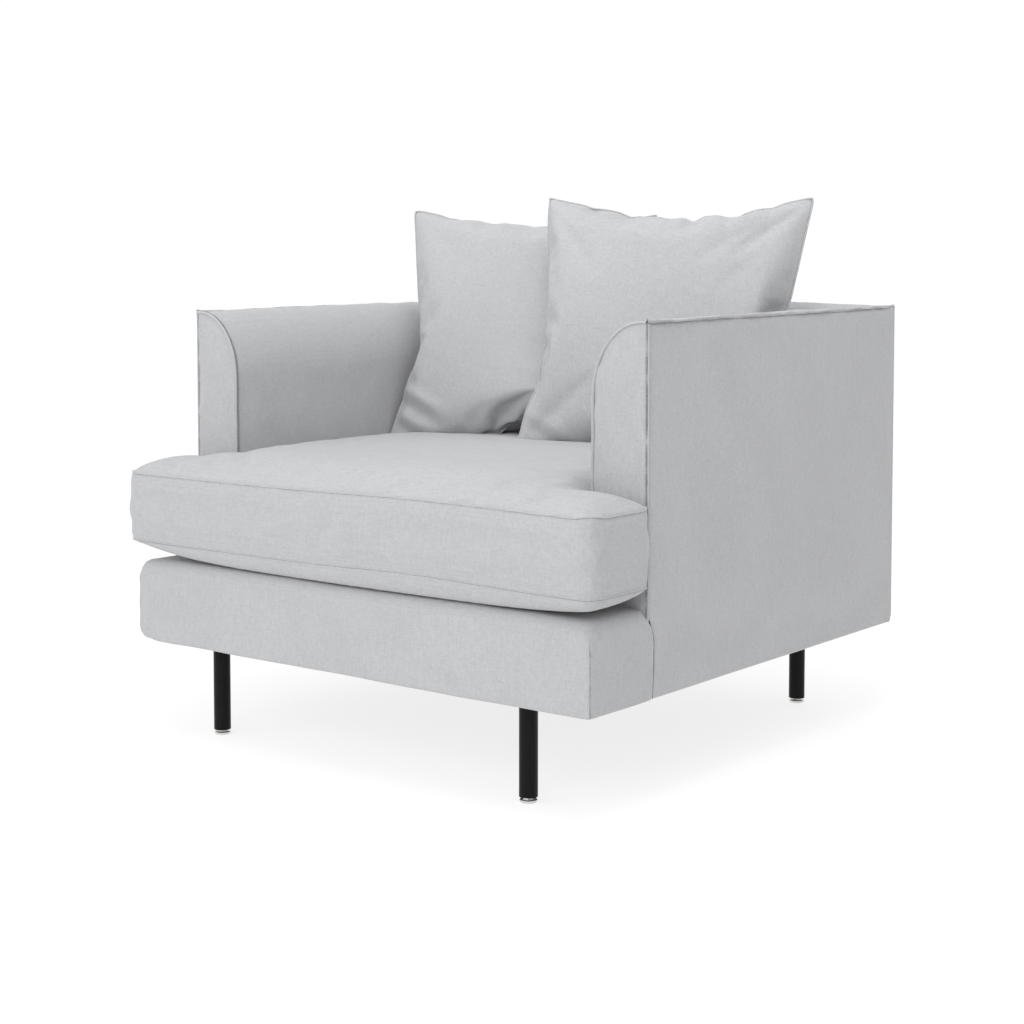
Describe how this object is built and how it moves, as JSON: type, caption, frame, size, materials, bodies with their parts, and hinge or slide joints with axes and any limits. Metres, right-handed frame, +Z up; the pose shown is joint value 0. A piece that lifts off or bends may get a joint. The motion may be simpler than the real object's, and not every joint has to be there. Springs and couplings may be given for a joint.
{
  "type": "upholstered armchair",
  "caption": "Low upholstered lounge chair with slim rolled-top track arms, a T-shaped boxed seat cushion, loose knife-edge back pillows and straight round steel legs.",
  "frame": {"origin": "on the floor, under the middle of the chair's overall width and depth", "axes": "+Z up, -Y the way the sitter faces, +X to the right of someone looking at the chair's front"},
  "size_m": [0.968, 0.941, 0.9106],
  "materials": {
    "upholstery": "matte",
    "ticking": "matte",
    "foam": "matte",
    "burlap": "matte",
    "webbing": "matte",
    "dust_cloth": "matte",
    "zip_tape": "matte",
    "frame_wood": "matte",
    "hardboard": "matte",
    "leg_coating": "satin",
    "glide_nickel": "polished",
    "insert_plastic": "matte",
    "zinc_steel": "satin",
    "zip_metal": "satin"
  },
  "bodies": {
    "chair_frame": {"front_rail": "frame_wood", "back_rail": "frame_wood", "side_rail_left": "frame_wood", "side_rail_right": "frame_wood", "leg_blocks": "frame_wood", "seat_stretchers": "frame_wood", "back_top_rail": "frame_wood", "back_tack_rail": "frame_wood", "arm_front_board_left": "frame_wood", "arm_front_post_left": "frame_wood", "arm_top_rail_left": "frame_wood", "back_post_left": "frame_wood", "side_panel_left": "hardboard", "arm_foam_left": "foam", "arm_cover_left": "upholstery", "outside_arm_cover_left": "upholstery", "arm_welt_left": "upholstery", "arm_front_board_right": "frame_wood", "arm_front_post_right": "frame_wood", "arm_top_rail_right": "frame_wood", "back_post_right": "frame_wood", "side_panel_right": "hardboard", "arm_foam_right": "foam", "arm_cover_right": "upholstery", "outside_arm_cover_right": "upholstery", "arm_welt_right": "upholstery", "back_panel": "hardboard", "sinuous_springs": "zinc_steel", "spring_clips": "zinc_steel", "t_nuts": "zinc_steel", "back_webbing": "webbing", "deck_burlap": "burlap", "deck_foam": "foam", "deck_cover": "upholstery", "back_foam": "foam", "base_foam": "foam", "inside_back_cover": "upholstery", "outside_back_cover": "upholstery", "base_cover": "upholstery", "dust_cover": "dust_cloth", "leg_front_left": "leg_coating", "leg_front_right": "leg_coating", "leg_back_left": "leg_coating", "leg_back_right": "leg_coating", "leg_inserts": "insert_plastic"},
    "cushion_zip_slider": {"cushion_zip_slider": "zip_metal"},
    "seat_cushion": {"seat_cushion_cover": "upholstery", "seat_cushion_foam": "foam", "cushion_zip_tape": "zip_tape"},
    "left_pillow": {"pillow_cover_left": "upholstery", "pillow_insert_left": "ticking"},
    "right_pillow": {"pillow_cover_right": "upholstery", "pillow_insert_right": "ticking"},
    "glide_front_left": {"glide_front_left": "glide_nickel"},
    "glide_front_right": {"glide_front_right": "glide_nickel"},
    "glide_back_left": {"glide_back_left": "glide_nickel"},
    "glide_back_right": {"glide_back_right": "glide_nickel"}
  },
  "joints": [
    {"name": "seat_cushion_lift", "type": "slide", "parent": "chair_frame", "child": "seat_cushion", "axis": [0, 0, 1], "range_m": [0, 0.3]},
    {"name": "left_pillow_lift", "type": "slide", "parent": "seat_cushion", "child": "left_pillow", "axis": [0, 0.2572, 0.9664], "range_m": [0, 0.3]},
    {"name": "right_pillow_lift", "type": "slide", "parent": "seat_cushion", "child": "right_pillow", "axis": [0, 0.2572, 0.9664], "range_m": [0, 0.3]},
    {"name": "cushion_zip_pull", "type": "slide", "parent": "seat_cushion", "child": "cushion_zip_slider", "axis": [-1, 0, 0], "range_m": [0, 0.56]},
    {"name": "glide_front_left_screw", "type": "slide", "parent": "chair_frame", "child": "glide_front_left", "axis": [0, 0, -1], "range_m": [0, 0.008]},
    {"name": "glide_front_right_screw", "type": "slide", "parent": "chair_frame", "child": "glide_front_right", "axis": [0, 0, -1], "range_m": [0, 0.008]},
    {"name": "glide_back_left_screw", "type": "slide", "parent": "chair_frame", "child": "glide_back_left", "axis": [0, 0, -1], "range_m": [0, 0.008]},
    {"name": "glide_back_right_screw", "type": "slide", "parent": "chair_frame", "child": "glide_back_right", "axis": [0, 0, -1], "range_m": [0, 0.008]}
  ]
}
